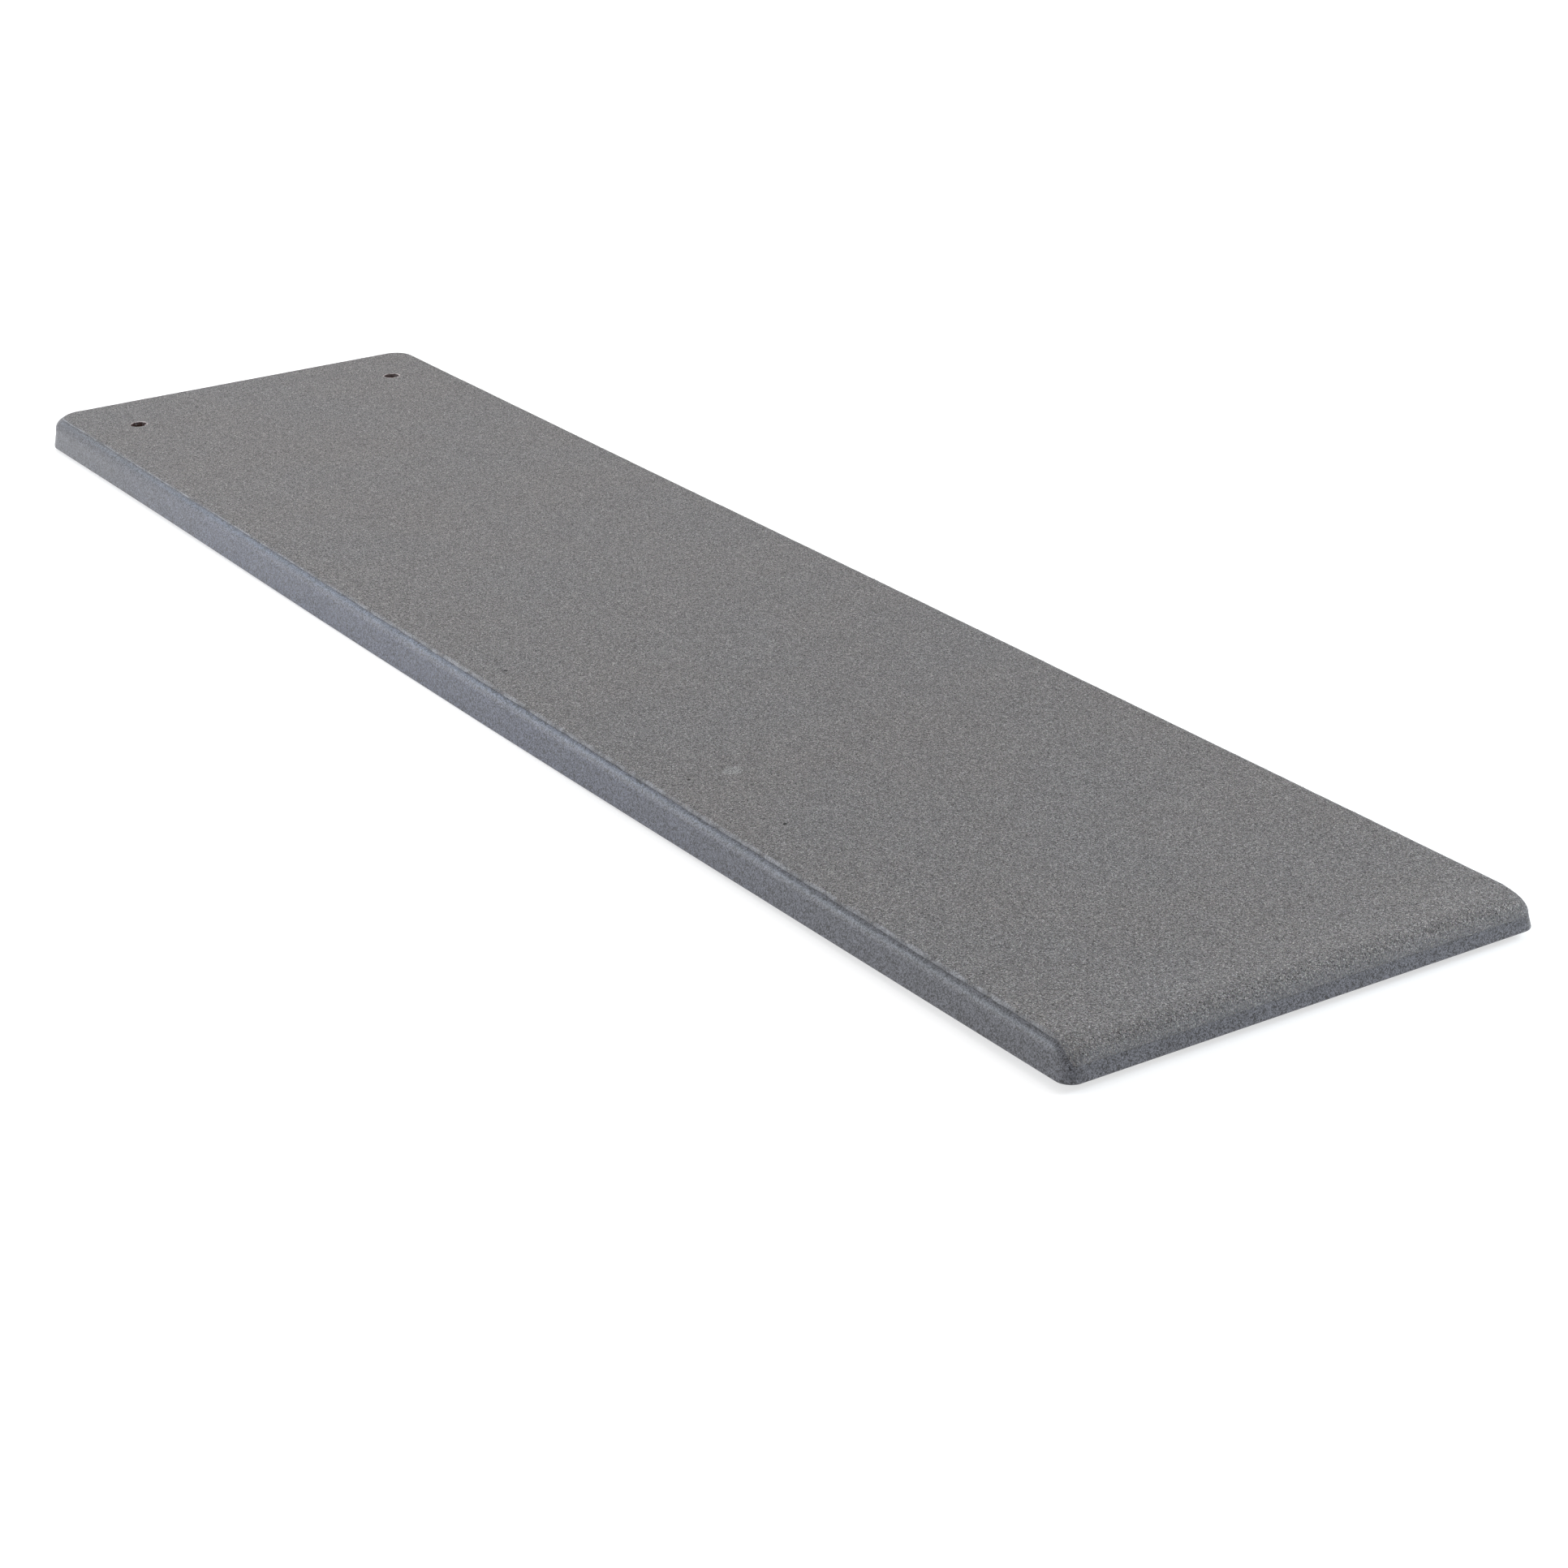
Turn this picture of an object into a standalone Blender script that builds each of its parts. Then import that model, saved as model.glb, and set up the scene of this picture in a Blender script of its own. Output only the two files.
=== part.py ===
"""Residential diving board, six feet long.

A vacuum-formed acrylic pan carries a sand tread on its top face. The pan is backed with fibreglass and
filled with a core of edge-glued fir strips. A fibreglass laminate and a pigmented coat close the underside.

Frame: origin on the underside, midway between the two bolt holes. +X runs towards the diving tip, +Z is up.
"Station" below means the distance from the butt end, and "depth" the distance below the tread's top.
"""

import math

import bmesh
import bpy

MM = 0.001
INCH = 0.0254

# Driving dimensions.
BOARD_LENGTH = 72 * INCH
BOARD_WIDTH = 17.5 * INCH
BUTT_THICKNESS = 33.0 * MM
FULCRUM_THICKNESS = 36.0 * MM
TIP_THICKNESS = 28.5 * MM

# Bolt holes, each for a half-inch bolt.
HOLE_SETBACK = 3.875 * INCH
HOLE_SPACING = 12 * INCH
HOLE_DIAMETER = 9 / 16 * INCH

# Stations where the underside changes: flat rear seat, rise, flat fulcrum seat, taper to the tip.
REAR_SEAT_END = 0.20
FULCRUM_SEAT_START = 0.78
FULCRUM_SEAT_END = 1.00
TAPER_END = 1.78
TAPER_EASE = 1.3

# Cross-section of the pan's edge.
SHOULDER_RUN = 12.5 * MM
SHOULDER_DROP = 14.0 * MM
DRAFT_INSET = 3.0 * MM
RIM_ROUND = 1.5 * MM

# Plan corner radii, at the rim, where the wall meets the shoulder, and where the shoulder meets the flat top.
BUTT_CORNER_RIM = 30.0 * MM
BUTT_CORNER_WALL = 28.0 * MM
BUTT_CORNER_FLAT = 20.0 * MM
TIP_CORNER_RIM = 14.0 * MM
TIP_CORNER_WALL = 12.0 * MM
TIP_CORNER_FLAT = 26.0 * MM

# Layers, from the top down. Each pair of neighbours keeps a glue line between them.
GLUE_LINE = 0.3 * MM
TREAD_THICKNESS = 1.2 * MM
ACRYLIC_THICKNESS = 3.2 * MM
BACKING_THICKNESS = 2.5 * MM
LAMINATE_THICKNESS = 2.0 * MM
TOPCOAT_THICKNESS = 0.8 * MM

# The tread stops short of the long sides and of the butt end, and wraps over the tip.
TREAD_MARGIN = 8.0 * MM
TREAD_CORNER = 18.0 * MM
TREAD_WRAP = 14.0 * MM

STRIP_COUNT = 17

# Fineness of the facets.
CORNER_STEPS = 7
SHOULDER_STEPS = 6
RIM_STEPS = 2
HOLE_SEGMENTS = 32
RISE_STEPS = 5
TAPER_STEPS = 6

# Derived values.
SHELL_TOP = TREAD_THICKNESS + GLUE_LINE
SHOULDER_DEPTH = SHELL_TOP + SHOULDER_DROP
BACKING_INSET = ACRYLIC_THICKNESS + GLUE_LINE
CORE_INSET = BACKING_INSET + BACKING_THICKNESS + GLUE_LINE
LAMINATE_HEIGHT = TOPCOAT_THICKNESS + GLUE_LINE
CORE_HEIGHT = LAMINATE_HEIGHT + LAMINATE_THICKNESS + GLUE_LINE
STRIP_PITCH = (BOARD_WIDTH - 2 * CORE_INSET) / STRIP_COUNT

BOLT_CENTRES = (-HOLE_SPACING / 2, HOLE_SPACING / 2)
SHARP_ANGLE = math.radians(32)
CUTTER_LENGTH = 0.2


def clear_scene():
    for item in list(bpy.data.objects):
        bpy.data.objects.remove(item, do_unlink=True)


def spaced(start, end, steps):
    """Evenly spaced stations from start to end, without start."""
    return [start + (end - start) * i / steps for i in range(1, steps + 1)]


STATIONS = (
    [REAR_SEAT_END]
    + spaced(REAR_SEAT_END, FULCRUM_SEAT_START, RISE_STEPS)
    + spaced(FULCRUM_SEAT_START, FULCRUM_SEAT_END, 1)
    + spaced(FULCRUM_SEAT_END, TAPER_END, TAPER_STEPS)
)


def designed_thickness(station):
    """Thickness of the board at one of the stations, or at the tip."""
    if station <= REAR_SEAT_END:
        return BUTT_THICKNESS
    if station < FULCRUM_SEAT_START:
        part = (station - REAR_SEAT_END) / (FULCRUM_SEAT_START - REAR_SEAT_END)
        eased = part * part * (3 - 2 * part)
        return BUTT_THICKNESS + (FULCRUM_THICKNESS - BUTT_THICKNESS) * eased
    if station <= FULCRUM_SEAT_END:
        return FULCRUM_THICKNESS
    part = (station - FULCRUM_SEAT_END) / (BOARD_LENGTH - FULCRUM_SEAT_END)
    return FULCRUM_THICKNESS - (FULCRUM_THICKNESS - TIP_THICKNESS) * part**TAPER_EASE


def thickness(station):
    """Thickness anywhere. It is straight between stations, so that each underside facet is flat."""
    knots = [0.0] + STATIONS + [BOARD_LENGTH]
    station = min(max(station, 0.0), BOARD_LENGTH)
    for low, high in zip(knots, knots[1:]):
        if station <= high:
            part = (station - low) / (high - low)
            return designed_thickness(low) * (1 - part) + designed_thickness(high) * part
    return TIP_THICKNESS


def corner_arc(centre_station, centre_y, radius, start_degrees):
    """Quarter circle in plan, anticlockwise seen from above, both ends included."""
    points = []
    for step in range(CORNER_STEPS + 1):
        angle = math.radians(start_degrees + 90 * step / CORNER_STEPS)
        points.append((centre_station + radius * math.cos(angle), centre_y + radius * math.sin(angle)))
    return points


def outline(inset, butt_centre, tip_centre):
    """Plan outline, anticlockwise: near side, two tip corners, far side, two butt corners.

    Each corner turns about a centre that stands in from both of its sides by the distance given."""
    butt = butt_centre - inset
    tip = tip_centre - inset
    side = BOARD_WIDTH / 2 - inset
    end = BOARD_LENGTH - inset
    near = [(station, -side) for station in STATIONS]
    far = [(station, side) for station in reversed(STATIONS)]
    tip_corners = corner_arc(end - tip, -side + tip, tip, -90) + corner_arc(end - tip, side - tip, tip, 0)
    butt_corners = corner_arc(inset + butt, side - butt, butt, 90) + corner_arc(
        inset + butt, -side + butt, butt, 180
    )
    return near + tip_corners + far + butt_corners


def placed(station, y, depth):
    """A point of the row's frame."""
    return (station - HOLE_SETBACK, y, BUTT_THICKNESS - depth)


def corner_centre(wall_radius, flat_radius, angle):
    """How far in a corner's centre stands, part-way up the shoulder. The radius grows towards the flat top."""
    radius = wall_radius + (flat_radius - wall_radius) * math.sqrt(1 - math.sin(angle))
    return radius + DRAFT_INSET + SHOULDER_RUN * (1 - math.sin(angle))


def shoulder_rings(inset):
    """Rings of the rounded shoulder, from the flat top outwards and down, for a skin at this inset."""
    run = SHOULDER_RUN - inset
    drop = SHOULDER_DROP - inset
    rings = []
    for step in range(SHOULDER_STEPS + 1):
        angle = math.pi / 2 * step / SHOULDER_STEPS
        plan_inset = DRAFT_INSET + SHOULDER_RUN - run * math.sin(angle)
        depth = SHELL_TOP + inset + drop * (1 - math.cos(angle))
        butt_centre = corner_centre(BUTT_CORNER_WALL, BUTT_CORNER_FLAT, angle)
        tip_centre = corner_centre(TIP_CORNER_WALL, TIP_CORNER_FLAT, angle)
        plan = outline(plan_inset, butt_centre, tip_centre)
        rings.append([placed(station, y, depth) for station, y in plan])
    return rings


def wall_ring(inset, height):
    """Ring on the drafted wall of a skin at this inset, at a height above the underside."""
    upper = outline(DRAFT_INSET + inset, BUTT_CORNER_WALL + DRAFT_INSET, TIP_CORNER_WALL + DRAFT_INSET)
    lower = outline(inset, BUTT_CORNER_RIM, TIP_CORNER_RIM)
    ring = []
    for (upper_station, upper_y), (lower_station, lower_y) in zip(upper, lower):
        depth = thickness(lower_station) - height
        lift = height / (thickness(lower_station) - SHOULDER_DEPTH)
        station = lower_station + (upper_station - lower_station) * lift
        y = lower_y + (upper_y - lower_y) * lift
        ring.append(placed(station, y, depth))
    return ring


def rim_rings():
    """Rings of the small round where the outer wall turns under."""
    rings = []
    for step in range(RIM_STEPS + 1):
        angle = math.pi / 2 * step / RIM_STEPS
        inset = RIM_ROUND * (1 - math.cos(angle))
        height = RIM_ROUND * (1 - math.sin(angle))
        rings.append(wall_ring(inset, height))
    return rings


def add_cap(mesh, ring):
    """Closes a ring with one face between each pair of stations, so that every face is flat."""
    count = len(STATIONS)
    corner_points = 2 * (CORNER_STEPS + 1)
    far_start = count + corner_points
    near = ring[:count]
    far = ring[far_start : far_start + count]
    for i in range(count - 1):
        mesh.faces.new((near[i], near[i + 1], far[count - 2 - i], far[count - 1 - i]))
    mesh.faces.new(ring[count - 1 : far_start + 1])
    mesh.faces.new(ring[far_start + count - 1 :] + [ring[0]])


def loft(rings):
    """Closed mesh through the rings, capped at both ends."""
    mesh = bmesh.new()
    loops = [[mesh.verts.new(point) for point in ring] for ring in rings]
    for upper, lower in zip(loops, loops[1:]):
        for i in range(len(upper)):
            following = (i + 1) % len(upper)
            mesh.faces.new((upper[i], upper[following], lower[following], lower[i]))
    add_cap(mesh, loops[0])
    add_cap(mesh, loops[-1])
    bmesh.ops.recalc_face_normals(mesh, faces=mesh.faces)
    return mesh


def finish_object(name, mesh, material):
    """Turns a bmesh into a named object, with round faces shaded smooth."""
    data = bpy.data.meshes.new(name)
    mesh.to_mesh(data)
    mesh.free()
    data.shade_smooth()
    data.set_sharp_from_angle(angle=SHARP_ANGLE)
    if material is not None:
        data.materials.append(material)
    item = bpy.data.objects.new(name, data)
    bpy.context.scene.collection.objects.link(item)
    return item


def make_material(name, colour, roughness):
    material = bpy.data.materials.new(name)
    material.use_nodes = True
    shader = material.node_tree.nodes["Principled BSDF"]
    shader.inputs["Base Color"].default_value = (*colour, 1.0)
    shader.inputs["Roughness"].default_value = roughness
    shader.inputs["Metallic"].default_value = 0.0
    return material


def make_cutter(name, mesh):
    cutter = finish_object(name, mesh, None)
    cutter.hide_render = True
    cutter.display_type = "WIRE"
    return cutter


def make_bolt_cutter():
    """Two upright cylinders, one for each bolt hole."""
    mesh = bmesh.new()
    for y in BOLT_CENTRES:
        made = bmesh.ops.create_cone(
            mesh,
            cap_ends=True,
            segments=HOLE_SEGMENTS,
            radius1=HOLE_DIAMETER / 2,
            radius2=HOLE_DIAMETER / 2,
            depth=CUTTER_LENGTH,
        )
        bmesh.ops.translate(mesh, verts=made["verts"], vec=(0, y, 0))
    return make_cutter("bolt_hole_cutter", mesh)


def make_tread_cutter():
    """Upright prism over the part of the top that the tread covers, from the wrap's lower edge up."""
    reach = BOARD_LENGTH + CUTTER_LENGTH
    side = BOARD_WIDTH / 2 - TREAD_MARGIN
    near_edge = TREAD_MARGIN + TREAD_CORNER
    plan = [(reach, -side), (reach, side)]
    plan += corner_arc(near_edge, side - TREAD_CORNER, TREAD_CORNER, 90)
    plan += corner_arc(near_edge, -side + TREAD_CORNER, TREAD_CORNER, 180)
    mesh = bmesh.new()
    floor = [mesh.verts.new(placed(station, y, TREAD_WRAP)) for station, y in plan]
    base = mesh.faces.new(floor)
    raised = bmesh.ops.extrude_face_region(mesh, geom=[base])
    lifted = [item for item in raised["geom"] if isinstance(item, bmesh.types.BMVert)]
    bmesh.ops.translate(mesh, verts=lifted, vec=(0, 0, CUTTER_LENGTH))
    bmesh.ops.recalc_face_normals(mesh, faces=mesh.faces)
    return make_cutter("tread_cutter", mesh)


def cut(item, cutter, operation="DIFFERENCE"):
    boolean = item.modifiers.new(cutter.name, "BOOLEAN")
    boolean.operation = operation
    boolean.solver = "EXACT"
    boolean.object = cutter


def make_acrylic_shell(bolt_cutter):
    """Thin pan open at the bottom: flat top, rounded shoulder, drafted walls and a turned rim."""
    outside = shoulder_rings(0) + rim_rings()
    inside = [wall_ring(ACRYLIC_THICKNESS, 0)] + shoulder_rings(ACRYLIC_THICKNESS)[::-1]
    material = make_material("granite_acrylic", (0.11, 0.118, 0.14), 0.35)
    shell = finish_object("acrylic_shell", loft(outside + inside), material)
    cut(shell, bolt_cutter)


def make_sand_tread(tread_cutter, bolt_cutter):
    """Grit coat that lies on the top of the pan and wraps over its tip."""
    outside = shoulder_rings(-SHELL_TOP)
    inside = shoulder_rings(-GLUE_LINE)[::-1]
    material = make_material("sand_tread", (0.16, 0.16, 0.163), 0.9)
    tread = finish_object("sand_tread", loft(outside + inside), material)
    cut(tread, tread_cutter, "INTERSECT")
    cut(tread, bolt_cutter)


def make_backing(bolt_cutter):
    """Sprayed fibreglass that stiffens the inside of the pan."""
    outside = shoulder_rings(BACKING_INSET) + [wall_ring(BACKING_INSET, CORE_HEIGHT)]
    inner_inset = BACKING_INSET + BACKING_THICKNESS
    inside = [wall_ring(inner_inset, CORE_HEIGHT)] + shoulder_rings(inner_inset)[::-1]
    material = make_material("fibreglass_backing", (0.62, 0.58, 0.42), 0.45)
    backing = finish_object("fibreglass_backing", loft(outside + inside), material)
    cut(backing, bolt_cutter)


def make_core_block():
    """The whole core before it is divided into strips."""
    return loft(shoulder_rings(CORE_INSET) + [wall_ring(CORE_INSET, CORE_HEIGHT)])


def trim(mesh, y, keep_above):
    """Cuts the mesh on an upright plane at y, keeps one side, and closes the cut."""
    geometry = list(mesh.verts) + list(mesh.edges) + list(mesh.faces)
    done = bmesh.ops.bisect_plane(
        mesh,
        geom=geometry,
        plane_co=(0, y, 0),
        plane_no=(0, 1, 0),
        clear_outer=not keep_above,
        clear_inner=keep_above,
    )
    edges = [item for item in done["geom_cut"] if isinstance(item, bmesh.types.BMEdge)]
    bmesh.ops.contextual_create(mesh, geom=edges)


def make_core_strip(number, bolt_cutter, material):
    """One full-length fir strip. The outermost two keep the core's drafted sides."""
    low = (number - STRIP_COUNT / 2) * STRIP_PITCH
    high = low + STRIP_PITCH
    mesh = make_core_block()
    if number > 0:
        trim(mesh, low + GLUE_LINE / 2, True)
    if number < STRIP_COUNT - 1:
        trim(mesh, high - GLUE_LINE / 2, False)
    bmesh.ops.recalc_face_normals(mesh, faces=mesh.faces)
    strip = finish_object(f"core_strip_{number + 1:02d}", mesh, material)
    if any(low < y < high for y in BOLT_CENTRES):
        cut(strip, bolt_cutter)


def make_underside_layer(name, lower_height, layer_thickness, material, bolt_cutter):
    """Sheet inside the pan's rim that follows the underside at a given height above it."""
    lower = wall_ring(BACKING_INSET, lower_height)
    upper = wall_ring(BACKING_INSET, lower_height + layer_thickness)
    layer = finish_object(name, loft([upper, lower]), material)
    cut(layer, bolt_cutter)


def build():
    clear_scene()
    bolt_cutter = make_bolt_cutter()
    tread_cutter = make_tread_cutter()
    make_sand_tread(tread_cutter, bolt_cutter)
    make_acrylic_shell(bolt_cutter)
    make_backing(bolt_cutter)
    for number in range(STRIP_COUNT):
        fir = make_material(f"fir_{number + 1:02d}", (0.45, 0.27, 0.14), 0.6)
        make_core_strip(number, bolt_cutter, fir)
    glass = make_material("underside_glass", (0.55, 0.52, 0.4), 0.4)
    make_underside_layer("bottom_laminate", LAMINATE_HEIGHT, LAMINATE_THICKNESS, glass, bolt_cutter)
    pigmented = make_material("underside_coat", (0.3, 0.31, 0.33), 0.5)
    make_underside_layer("underside_topcoat", 0, TOPCOAT_THICKNESS, pigmented, bolt_cutter)


build()
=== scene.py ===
"""Looks for the diving board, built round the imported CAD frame.

The frame's origin is on the underside, midway between the bolt holes. +X runs to the diving tip, +Z is up.
The acrylic pan and the sand tread are rebuilt here as fine meshes, with coarse grains as a third one. The
other CAD nodes keep their shapes and get procedural materials.

"Inset" is the distance in from the board's widest outline, "lift" the height of a skin over the acrylic's
outer face, and "along" the share of the board's length from the butt end. Right, seen from there, is -Y.
"""

import math

import bmesh
import bpy
import numpy as np
from mathutils import Matrix, Vector, noise


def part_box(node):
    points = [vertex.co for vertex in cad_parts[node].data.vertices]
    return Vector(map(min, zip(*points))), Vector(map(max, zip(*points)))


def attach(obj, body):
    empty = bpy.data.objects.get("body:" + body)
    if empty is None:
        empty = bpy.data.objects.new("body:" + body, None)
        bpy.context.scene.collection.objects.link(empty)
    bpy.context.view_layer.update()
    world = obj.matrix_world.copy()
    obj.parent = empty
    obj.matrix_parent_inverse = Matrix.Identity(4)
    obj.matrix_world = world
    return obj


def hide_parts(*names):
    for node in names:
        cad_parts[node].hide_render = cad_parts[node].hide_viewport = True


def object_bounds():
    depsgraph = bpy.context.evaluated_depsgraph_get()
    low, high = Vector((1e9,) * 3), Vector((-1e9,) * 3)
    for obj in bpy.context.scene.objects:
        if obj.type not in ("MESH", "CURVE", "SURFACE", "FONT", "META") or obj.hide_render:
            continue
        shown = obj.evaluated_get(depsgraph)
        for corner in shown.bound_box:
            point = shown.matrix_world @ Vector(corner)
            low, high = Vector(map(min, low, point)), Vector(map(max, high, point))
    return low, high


MM = 0.001

# Shape of the pan and the tread, as in the CAD.
SHOULDER_RUN = 12.5 * MM
SHOULDER_DROP = 14.0 * MM
DRAFT_INSET = 3.0 * MM
RIM_ROUND = 1.5 * MM
ACRYLIC_THICKNESS = 3.2 * MM
TREAD_LIFT = 1.5 * MM
TREAD_GAP = 0.3 * MM
BUTT_CORNER_RIM = 30.0 * MM
BUTT_CORNER_WALL = 28.0 * MM
BUTT_CORNER_FLAT = 20.0 * MM
TIP_CORNER_RIM = 14.0 * MM
TIP_CORNER_WALL = 12.0 * MM
TIP_CORNER_FLAT = 26.0 * MM
FLAT_INSET = DRAFT_INSET + SHOULDER_RUN
TIP_WALL_HEIGHT = 13.0 * MM
WALL_LEAN = DRAFT_INSET / TIP_WALL_HEIGHT
HOLE_RADIUS = 7.15 * MM
HOLE_Y = 152.4 * MM

# Fineness of the fine meshes: cells along a side, across an end, and round half a corner.
SHELL_CELLS = (250, 60, 10)
TREAD_CELLS = (540, 126, 6)
SHOULDER_STEPS = 14
INNER_SHOULDER_STEPS = 6
RIM_STEPS = 5
HOLE_SEGMENTS = 56
GRID_MARGIN = 14 * MM

# Bolt holes: how far the pan and the tread are chipped round them, and how far each cutter reaches down.
SHELL_CHIP = 1.1 * MM
TREAD_CHIP = 2.8 * MM
BELOW_SHELL = 20 * MM
BELOW_TREAD = 10 * MM

# Where the tread ends, in millimetres and degrees. It stands in from the sides by SIDE_INSETS at these shares
# of the length, and runs down over the tip by TIP_WRAP, plus TIP_WRAP_SLANT at the left. The one changes to
# the other once the outline has turned by TURN_START from the side, over the next TURN_SPAN.
SIDE_STATIONS = (0, 0.3, 0.55, 1.0)
SIDE_INSETS = (10.6, 10.2, 8.6, 8.4)
TIP_WRAP = 15.4
TIP_WRAP_SLANT = 1.4
TURN_START = 8
TURN_SPAN = 55

# Rings of the tread near its edge, by their distance from it. A skin's underside keeps clear by UNDER_GAP.
EDGE_RINGS = np.array([6.0, 4.2, 3.0, 2.0, 1.2, 0.6, 0.25]) * MM
UNDER_GAP = 0.02 * MM

# Coarse grains in the tread, and stray ones on the acrylic past its edge. Radii are in millimetres.
GRAINS_ON_TREAD = 22400
GRAINS_PAST_EDGE = 2500
STRAY_RINGS = 20
STRAY_STEP = 0.25 * MM
STRAY_FALL = 4.5
STRAY_LOWEST = 1.8
GRAIN_RADII = (0.4, 0.8)
STRAY_RADII = (0.2, 0.42)

# Sizes of the grain cells in the tread's material and of the flecks in the acrylic's.
TREAD_GRAIN = 0.85 * MM
TREAD_FINE_GRAIN = 0.5 * MM
FLECK = 1.3 * MM
SPECKLE = 0.75 * MM

# Black resin specks and a patch of bare quartz grains on the tread: x, y and size.
TREAD_SPECKS = [
    (0.874, -0.186, 2.0 * MM),
    (1.175, -0.183, 1.8 * MM),
    (1.295, -0.168, 2.2 * MM),
]
BRIGHT_PATCH = (1.180, -0.144, 9 * MM)

# Colours, in linear light. The grit's go with the grain's value, from 0 to 1.
WHITE = (1.0, 1.0, 1.0)
# GRANITE_COOL holds a painted bluish reflection, used over mid-board; GRANITE_WARM is used at the ends.
GRANITE_COOL = (0.0820, 0.0885, 0.1175)
GRANITE_WARM = (0.0820, 0.0838, 0.0975)
GRANITE_DARK = (0.020, 0.020, 0.023)
GRANITE_PALE = (0.22, 0.23, 0.26)
TREAD_COOL = (0.1368, 0.1315, 0.1344)
TREAD_WARM = (0.1397, 0.1315, 0.1319)
TREAD_BLACK = (0.012, 0.012, 0.012)
TREAD_EDGE = (0.34, 0.35, 0.38)
THIN_COAT = (0.140, 0.149, 0.166)
CHIP_PALE = (0.42, 0.38, 0.38)
BARE_QUARTZ = (0.42, 0.43, 0.43)
# Bolt-hole walls: reddish-brown resin stain, darkened further as painted shade.
HOLE_STAIN_AND_SHADE = (0.040, 0.020, 0.019)
GRIT_SHADES = [
    (0.0, (0.02, 0.02, 0.022)),
    (0.15, (0.085, 0.083, 0.083)),
    (0.5, (0.150, 0.149, 0.150)),
    (0.85, (0.225, 0.222, 0.22)),
    (1.0, (0.38, 0.375, 0.365)),
]
BACKING_RESIN = (0.5, 0.46, 0.3)
LAMINATE_RESIN = (0.52, 0.49, 0.35)
GLASS_STRAND = (0.78, 0.75, 0.62)
COAT_DARK = (0.21, 0.215, 0.23)
COAT_LIGHT = (0.26, 0.262, 0.27)
COAT_PINHOLE = (0.10, 0.10, 0.10)
FIR_EARLY = (0.42, 0.22, 0.105)
FIR_LATE = (0.2, 0.08, 0.03)
FIR_PALE = (0.5, 0.3, 0.16)
FLOOR_DARK = (0.49, 0.49, 0.49)
FLOOR_LIGHT = (0.51, 0.51, 0.51)
COOL_LIGHT = (0.66, 0.84, 1.0)
TIP_LIGHT = (0.82, 0.92, 1.0)

# Camera: angles in degrees, places and distance as shares of the board's length.
CAMERA_AZIMUTH = 57.253
CAMERA_ELEVATION = 23.189
CAMERA_ROLL = 1.087
CAMERA_DISTANCE = 1.5393
TARGET_ALONG = 0.7247
TARGET_ACROSS = -0.0681
TARGET_DROP = 0.4 * MM
LENS = 79.94
SENSOR = 36.0

# Surroundings: strength of the white, and of the dark patch round the camera with its inner and outer angle.
WORLD_STRENGTH = 0.95
DARK_STRENGTH = 0.12
DARK_INNER = math.radians(14)
DARK_OUTER = math.radians(42)
FLOOR_REACH = 30.0
FLOOR_DROP = 0.2 * MM
FLOOR_GLOW = 1.15

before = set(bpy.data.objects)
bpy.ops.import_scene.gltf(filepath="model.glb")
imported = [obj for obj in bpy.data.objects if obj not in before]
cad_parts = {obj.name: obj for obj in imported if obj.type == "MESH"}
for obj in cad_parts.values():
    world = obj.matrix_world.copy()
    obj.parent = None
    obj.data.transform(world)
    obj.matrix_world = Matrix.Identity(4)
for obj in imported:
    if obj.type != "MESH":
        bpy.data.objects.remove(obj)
cad_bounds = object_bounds()

shell_low, shell_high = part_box("acrylic_shell")
TOP_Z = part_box("sand_tread")[1].z
SHELL_TOP_Z = TOP_Z - TREAD_LIFT
SHOULDER_Z = SHELL_TOP_Z - SHOULDER_DROP
# The widest ring stands a rim's round above the underside, so the draft has already drawn it in a little.
RIM_LEAN = 0.25 * MM
BUTT_X = shell_low.x - RIM_LEAN
TIP_X = shell_high.x + RIM_LEAN
LENGTH = TIP_X - BUTT_X
HALF_WIDTH = shell_high.y + RIM_LEAN


def underside_profile():
    """Places along X and heights of the pan's lower edge, read from the CAD node."""
    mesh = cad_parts["acrylic_shell"].data
    points = np.array([vertex.co for vertex in mesh.vertices])
    low = {}
    for x, _, z in points:
        place = round(float(x), 3)
        low[place] = min(low.get(place, z), z)
    places = sorted(place for place in low if low[place] < SHOULDER_Z - 5 * MM)
    return np.array(places), np.array([low[place] for place in places])


PROFILE_X, PROFILE_Z = underside_profile()


def underside_z(x):
    return np.interp(x, PROFILE_X, PROFILE_Z)


def corner_centre(wall_radius, flat_radius, angle):
    """How far in from both sides a corner's centre stands, part-way up the shoulder."""
    radius = wall_radius + (flat_radius - wall_radius) * np.sqrt(1 - np.sin(angle))
    return radius + FLAT_INSET - SHOULDER_RUN * np.sin(angle)


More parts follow.
